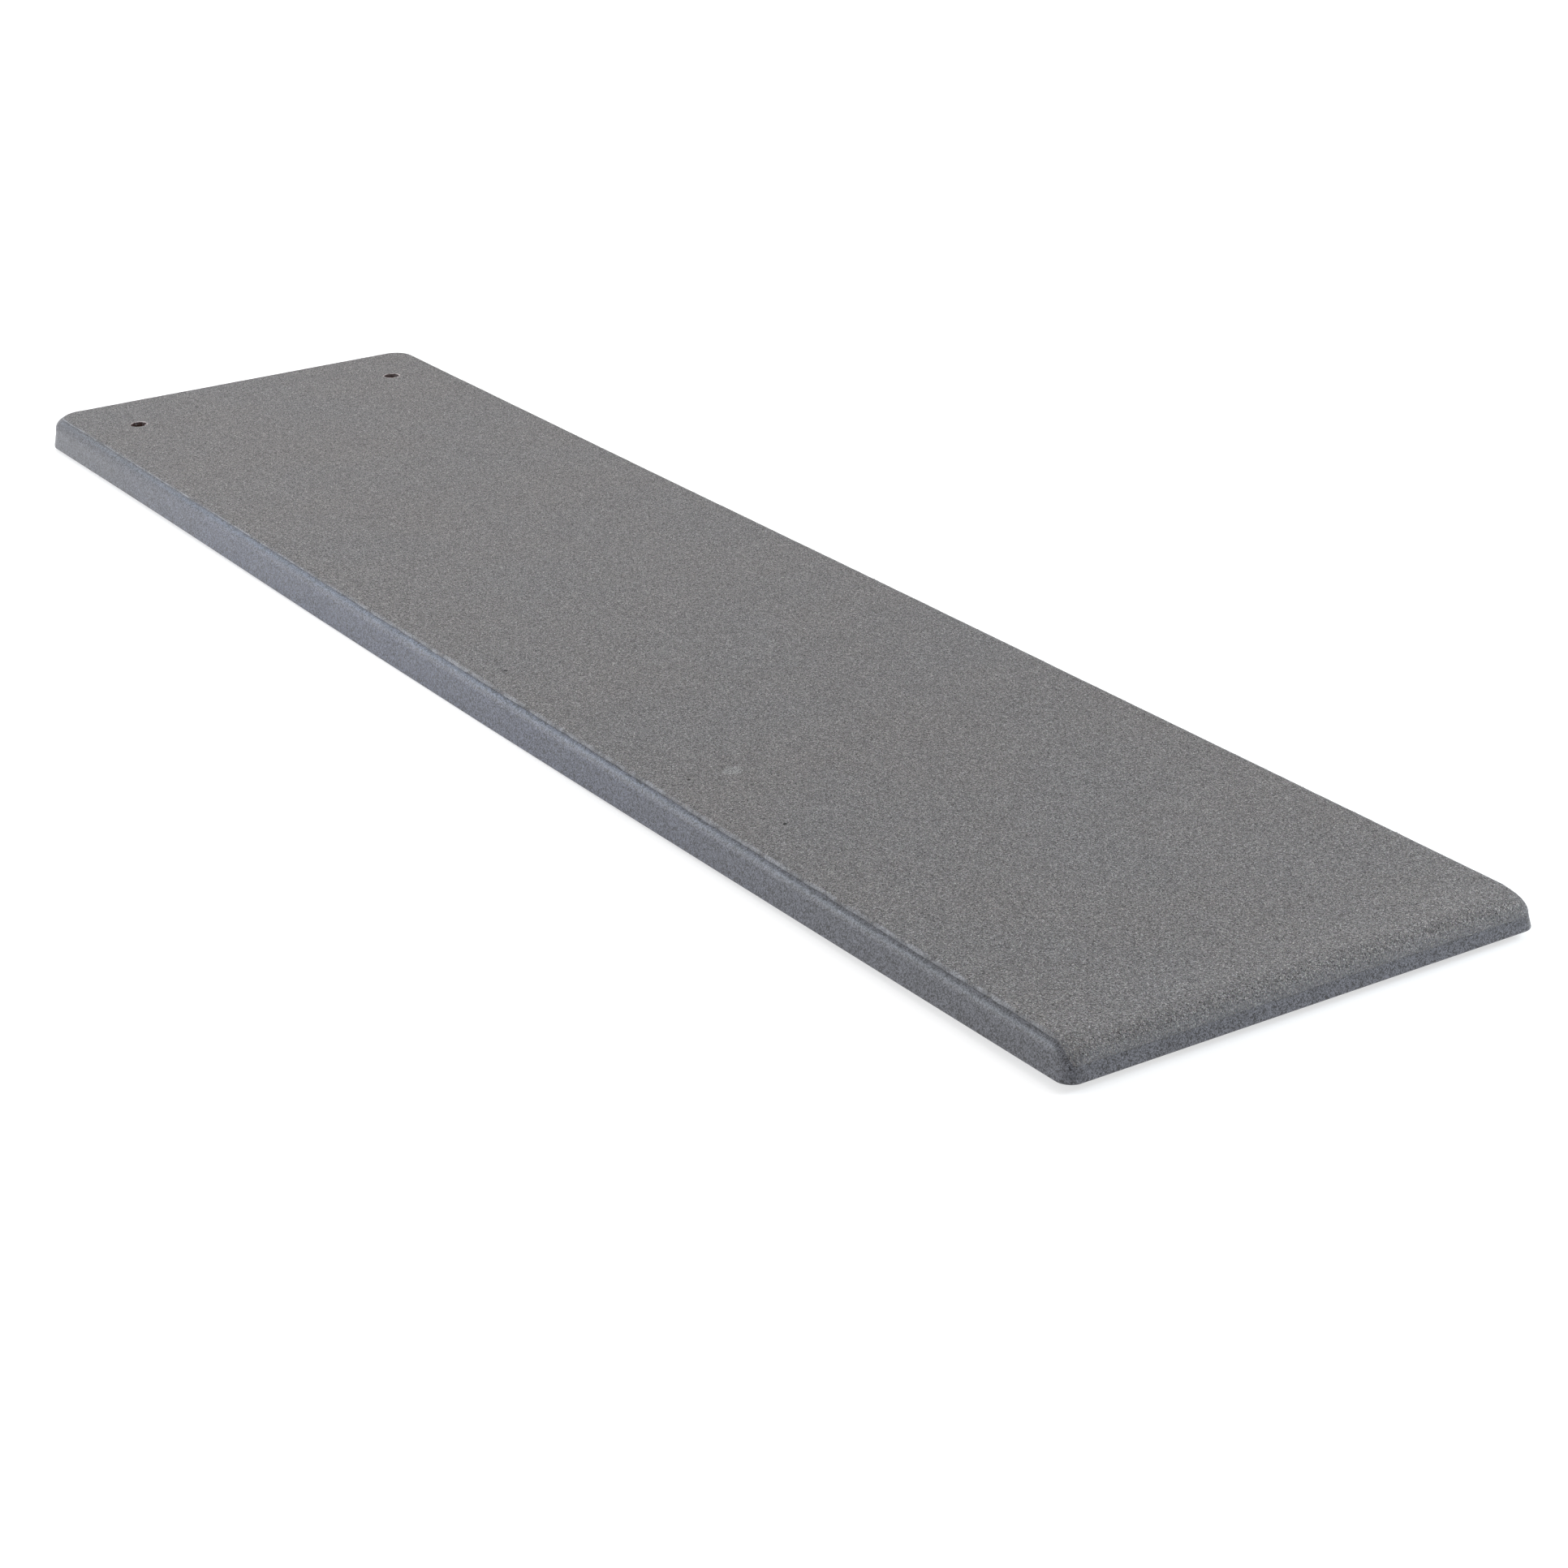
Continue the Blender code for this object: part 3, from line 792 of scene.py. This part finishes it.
def tread_grid(long_cells, short_cells):
    """Grid points over the flat of the top, their faces, and a border that matches a ring's nodes."""
    margin = FLAT_INSET + GRID_MARGIN
    xs = np.linspace(BUTT_X + margin, TIP_X - margin, long_cells + 1)
    ys = np.linspace(-HALF_WIDTH + margin, HALF_WIDTH - margin, short_cells + 1)
    grid = np.array([(x, y, TOP_Z) for y in ys for x in xs])

    def index(i, j):
        return j * (long_cells + 1) + i

    border = [index(i, 0) for i in range(long_cells)]
    border += [index(long_cells, j) for j in range(short_cells)]
    border += [index(long_cells - i, short_cells) for i in range(long_cells)]
    border += [index(0, short_cells - j) for j in range(short_cells)]
    faces = []
    for j in range(short_cells):
        for i in range(long_cells):
            faces.append((index(i, j), index(i + 1, j), index(i + 1, j + 1), index(i, j + 1)))
    return grid, faces, border


def make_tread(material):
    """The grit coat: a fine, uneven sheet with wandering edges that wraps over the tip."""
    ring_set = Perimeter(*TREAD_CELLS)
    count = ring_set.count
    limit = tread_limits(ring_set)
    grid, faces, border = tread_grid(*TREAD_CELLS[:2])
    flat = ring_set.skin(0.0, TREAD_LIFT)
    rings = [grid[border] + (flat - grid[border]) * part for part in (1 / 3, 2 / 3, 1)]
    arc = SHOULDER_RUN + TREAD_LIFT
    feather = tread_feather(ring_set)
    back = EDGE_RINGS / arc
    for i in (1, 2):
        angle = (limit - back[0]) * i / 3
        rings.append(ring_set.skin(np.maximum(angle, 0.02 * i), TREAD_LIFT))
    inner_rings = len(rings)
    for i, short_of in enumerate(back):
        angle = np.maximum(limit - short_of, limit * (0.3 + 0.1 * i))
        from_edge = (limit - angle) * arc
        part = np.clip(from_edge / feather, 0, 1)
        part = 1 - (1 - part) ** 2
        rings.append(ring_set.skin(angle, TREAD_GAP + (TREAD_LIFT - TREAD_GAP) * part))
    top_rings = len(rings)
    rings.append(ring_set.skin(limit, UNDER_GAP))
    rings.append(ring_set.skin(limit * 0.3, UNDER_GAP))
    rings.append(ring_set.skin(0.0, TREAD_GAP))
    vertices = np.concatenate([grid] + rings)
    start = len(grid)
    for i in range(count):
        following = (i + 1) % count
        faces.append((border[i], start + i, start + following, border[following]))
    for i in range(len(rings) - 1):
        faces += ring_faces(count, start + i * count, start + (i + 1) * count)
    last = start + (len(rings) - 1) * count
    faces.append(tuple(last + i for i in reversed(range(count))))
    uneven_tread(vertices, start, ring_set, top_rings)
    item = new_object("tread_sand_coat", vertices, faces, material)
    set_point_attribute(item, "edge", edge_values(len(vertices), start, ring_set, top_rings))
    set_point_attribute(item, "thin", thin_values(len(vertices), start + inner_rings * count, ring_set))
    cut_holes(item, TOP_Z, SHELL_TOP_Z - BELOW_TREAD, TREAD_CHIP, seed=11)
    return item


def edge_values(total, start, ring_set, top_rings):
    """How far the tread is rubbed pale: 1 on its outermost rings along the sides, less further in, 0 round
    the tip.

    The rubbed band is wider on the half nearer to the tip."""
    count = ring_set.count
    on_sides = np.clip(1 - 3 * np.clip(ring_set.nx, 0, 1), 0, 1)
    towards_tip = np.interp(ring_set.along, [0.35, 0.5], [0.0, 1.0])
    values = np.zeros(total)
    for first in range(start + (top_rings - 2) * count, total, count):
        values[first : first + count] = on_sides
    for back, wear_and_shading in ((3, 0.4 + 0.5 * towards_tip), (4, 0.9 * towards_tip), (5, 0.5 * towards_tip)):
        first = start + (top_rings - back) * count
        values[first : first + count] = wear_and_shading * on_sides
    return values


def thin_values(total, edge_start, ring_set):
    """How thin the coat has run at each vertex: 1 at its edge, with a wider margin at the tip.

    The edge rings' vertices start at edge_start, and all after them are on the tread's underside."""
    at_tip = np.clip(ring_set.nx, 0, 1)
    margin = 3 * MM + 9 * MM * at_tip
    values = np.zeros(total)
    values[edge_start:] = 1.0
    for i, distance in enumerate(EDGE_RINGS):
        first = edge_start + i * ring_set.count
        values[first : first + ring_set.count] = np.clip(1 - distance / margin, 0, 1)
    return values


def uneven_tread(vertices, start, ring_set, top_rings):
    """Gives the upper face roller marks and grain-sized unevenness, in place."""
    count = ring_set.count
    upper = start + top_rings * count
    top = vertices[:upper]
    rng = np.random.default_rng(7)
    lift = 0.10 * MM * wave(top, 45 * MM, 8)
    lift += 0.07 * MM * wave(top, 12 * MM, 9)
    lift += rng.normal(0, 0.03 * MM, len(top))
    normals = np.zeros_like(top)
    normals[:start, 2] = 1
    for i in range(top_rings):
        part = slice(start + i * count, start + (i + 1) * count)
        slope = np.clip((TOP_Z - top[part, 2]) / SHOULDER_DROP, 0, 1)
        normals[part, 0] = ring_set.nx * np.sqrt(slope)
        normals[part, 1] = ring_set.ny * np.sqrt(slope)
        normals[part, 2] = np.sqrt(1 - slope)
    vertices[:upper] = top + normals * lift[:, None]


def grains_on_tread(tread, rng, number):
    """Centres and radii of coarse grains scattered over the tread's face, denser towards the tip."""
    mesh = tread.data
    mesh.calc_loop_triangles()
    triangles = np.array([triangle.vertices for triangle in mesh.loop_triangles])
    points = np.array([vertex.co for vertex in mesh.vertices])
    a, b, c = (points[triangles[:, i]] for i in range(3))
    cross = np.cross(b - a, c - a)
    area = np.linalg.norm(cross, axis=1) / 2
    normal = cross / np.maximum(2 * area, 1e-12)[:, None]
    middle = (a + b + c) / 3
    outer = (normal[:, 2] > 0.05) & (middle[:, 2] > SHOULDER_Z) & (area > 0)
    from_hole = np.minimum(
        np.hypot(middle[:, 0], middle[:, 1] - HOLE_Y),
        np.hypot(middle[:, 0], middle[:, 1] + HOLE_Y),
    )
    outer &= from_hole > HOLE_RADIUS + 3 * MM
    along = (middle[:, 0] - BUTT_X) / LENGTH
    weight = np.where(outer, area * (0.55 + 0.75 * along), 0)
    chosen = rng.choice(len(triangles), number, p=weight / weight.sum())
    towards_b = rng.random(number)
    towards_c = rng.random(number)
    outside = towards_b + towards_c > 1
    towards_b = np.where(outside, 1 - towards_b, towards_b)[:, None]
    towards_c = np.where(outside, 1 - towards_c, towards_c)[:, None]
    centre = a[chosen] + (b - a)[chosen] * towards_b + (c - a)[chosen] * towards_c
    radius = rng.uniform(*GRAIN_RADII, number) * MM * (0.9 + 0.2 * along[chosen])
    return centre - normal[chosen] * (radius * 0.35)[:, None], radius


def grains_past_edge(rng, number):
    """Small stray grains stuck to the acrylic just outside the tread's edge, thickest at the tip."""
    ring_set = Perimeter(*TREAD_CELLS)
    limit = tread_limits(ring_set)
    step = STRAY_STEP / (SHOULDER_RUN + TREAD_LIFT)
    angles = [np.minimum(limit + i * step, STRAY_LOWEST) for i in range(STRAY_RINGS)]
    rings = np.array([ring_set.skin(angle, 0.0) for angle in angles])
    weight = 0.35 + np.clip(ring_set.nx, 0, 1)
    node = rng.choice(ring_set.count, number, p=weight / weight.sum())
    away = np.minimum(rng.exponential(STRAY_FALL, number), STRAY_RINGS - 1).astype(int)
    share = rng.random(number)[:, None]
    following = (node + 1) % ring_set.count
    centre = rings[away, node] * (1 - share) + rings[away, following] * share
    return centre, rng.uniform(*STRAY_RADII, number) * MM


def make_grit(tread, material):
    """Coarse grains as eight-sided crushed shapes, sunk into the coat, with strays along its edge."""
    rng = np.random.default_rng(21)
    on_tread, tread_radius = grains_on_tread(tread, rng, GRAINS_ON_TREAD)
    strays, stray_radius = grains_past_edge(rng, GRAINS_PAST_EDGE)
    centre = np.concatenate([on_tread, strays])
    radius = np.concatenate([tread_radius, stray_radius])
    number = len(centre)
    corners = np.array([(1, 0, 0), (-1, 0, 0), (0, 1, 0), (0, -1, 0), (0, 0, 1), (0, 0, -1)], float)
    reach = rng.uniform(0.65, 1.15, (number, 6, 1))
    shape = corners[None] * reach + rng.normal(0, 0.16, (number, 6, 3))
    quaternion = rng.normal(size=(number, 4))
    quaternion /= np.linalg.norm(quaternion, axis=1)[:, None]
    shape = turned_by(quaternion, shape) * radius[:, None, None] + centre[:, None]
    octahedron = [(0, 2, 4), (2, 1, 4), (1, 3, 4), (3, 0, 4), (2, 0, 5), (1, 2, 5), (3, 1, 5), (0, 3, 5)]
    faces = [tuple(6 * i + corner for corner in face) for i in range(number) for face in octahedron]
    item = new_object("tread_coarse_grit", shape.reshape(-1, 3), faces, material, smooth=False)
    set_point_attribute(item, "grain", np.repeat(rng.beta(2.2, 2.4, number), 6))
    return item


def turned_by(quaternion, points):
    """Turns each row's points by its own quaternion (w, x, y, z)."""
    w = quaternion[:, None, :1]
    axis = quaternion[:, None, 1:]
    twice = 2 * np.cross(axis, points)
    return points + w * twice + np.cross(axis, twice)


# Stage.


def make_floor():
    """Pale floor just under the board, which also glows, so that shadows stay faint."""
    n = Nodes("floor_pale")
    tone = n.noise(n.place(), 0.6, 2)
    base = n.mix(n.remap(tone, 0.3, 0.7), FLOOR_DARK, FLOOR_LIGHT)
    n.set(Base_Color=base, Roughness=0.9, Specular_IOR_Level=0.1)
    n.set(Emission_Color=base, Emission_Strength=FLOOR_GLOW)
    z = cad_bounds[0][2] - FLOOR_DROP
    signs = [(-1, -1), (1, -1), (1, 1), (-1, 1)]
    corners = [(FLOOR_REACH * x, FLOOR_REACH * y, z) for x, y in signs]
    floor = new_object("floor", corners, [(0, 1, 2, 3)], n.material, smooth=False)


def aim(item, target, roll=0.0):
    """Points a light or a camera at the target, turned by the roll about its own line of sight."""
    direction = Vector(target) - item.location
    turn = direction.to_track_quat("-Z", "Y").to_matrix()
    item.rotation_euler = (turn @ Matrix.Rotation(roll, 3, "Z")).to_euler()


def add_softbox(name, location, target, width, height, power, colour):
    light = bpy.data.lights.new(name, "AREA")
    light.shape = "RECTANGLE"
    light.size = width
    light.size_y = height
    light.energy = power
    light.color = colour
    item = bpy.data.objects.new(name, light)
    item.location = location
    item.visible_camera = False
    bpy.context.scene.collection.objects.link(item)
    aim(item, target)


def make_world(dark_side):
    """White surroundings, darker round the side the camera stands on but not where the camera sees them."""
    world = bpy.data.worlds.new("studio")
    world.use_nodes = True
    tree = world.node_tree
    place = tree.nodes.new("ShaderNodeTexCoord")
    facing = tree.nodes.new("ShaderNodeVectorMath")
    facing.operation = "DOT_PRODUCT"
    facing.inputs[1].default_value = dark_side
    tree.links.new(place.outputs["Generated"], facing.inputs[0])
    fade = tree.nodes.new("ShaderNodeMapRange")
    fade.interpolation_type = "SMOOTHSTEP"
    fade.inputs["From Min"].default_value = math.cos(DARK_OUTER)
    fade.inputs["From Max"].default_value = math.cos(DARK_INNER)
    fade.inputs["To Min"].default_value = WORLD_STRENGTH
    fade.inputs["To Max"].default_value = DARK_STRENGTH
    tree.links.new(facing.outputs["Value"], fade.inputs["Value"])
    seen = tree.nodes.new("ShaderNodeLightPath")
    brighter = tree.nodes.new("ShaderNodeMath")
    brighter.operation = "MAXIMUM"
    tree.links.new(fade.outputs["Result"], brighter.inputs[0])
    tree.links.new(seen.outputs["Is Camera Ray"], brighter.inputs[1])
    background = tree.nodes["Background"]
    background.inputs["Color"].default_value = (*WHITE, 1.0)
    tree.links.new(brighter.outputs[0], background.inputs["Strength"])
    bpy.context.scene.world = world


def make_camera():
    """Three-quarter view from beyond the tip, on the board's right. Returns the direction to the camera."""
    azimuth = math.radians(CAMERA_AZIMUTH)
    elevation = math.radians(CAMERA_ELEVATION)
    target = Vector((BUTT_X + TARGET_ALONG * LENGTH, TARGET_ACROSS * LENGTH, TOP_Z - TARGET_DROP))
    back = Vector(
        (
            math.sin(azimuth) * math.cos(elevation),
            -math.cos(azimuth) * math.cos(elevation),
            math.sin(elevation),
        )
    )
    data = bpy.data.cameras.new("camera")
    data.lens = LENS
    data.sensor_width = SENSOR
    data.clip_end = 100.0
    camera = bpy.data.objects.new("camera", data)
    camera.location = target + back * (CAMERA_DISTANCE * LENGTH)
    bpy.context.scene.collection.objects.link(camera)
    aim(camera, target, -math.radians(CAMERA_ROLL))
    bpy.context.scene.camera = camera
    return back


def make_stage():
    """Floor, surroundings, camera and four softboxes: place, point aimed at, width, height, watts, colour."""
    make_floor()
    make_world(make_camera())
    centre = (BUTT_X + LENGTH / 2, 0, 0)
    tip = (TIP_X, 0, 0)
    add_softbox("left_softbox", (-0.8, -1.5, 1.1), centre, 2.8, 0.5, 8.7, COOL_LIGHT)
    add_softbox("side_softbox", (-0.2, -1.35, 0.5), (0.1, 0, 0), 2.6, 0.9, 11.4, WHITE)
    add_softbox("top_softbox", (-1.0, 0.7, 2.6), centre, 2.0, 2.0, 40, WHITE)
    add_softbox("tip_softbox", (2.4, 0.85, 0.9), tip, 0.6, 0.5, 11.5, TIP_LIGHT)
    bpy.context.scene.view_settings.view_transform = "Standard"


def dress(item, material):
    item.data.materials.clear()
    item.data.materials.append(material)


def main():
    shell = make_shell(granite_acrylic())
    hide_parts("acrylic_shell")
    tread = make_tread(sand_tread())
    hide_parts("sand_tread")
    grains = make_grit(tread, grit())
    for piece in (shell, tread, grains):
        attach(piece, "root")
    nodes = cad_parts
    dress(nodes["fibreglass_backing"], fibreglass("fibreglass_backing", BACKING_RESIN))
    dress(nodes["bottom_laminate"], fibreglass("bottom_laminate", LAMINATE_RESIN))
    dress(nodes["underside_topcoat"], underside_coat())
    strips = sorted(name for name in nodes if name.startswith("core_strip_"))
    for number, name in enumerate(strips, 1):
        dress(nodes[name], fir(number))
    make_stage()


main()
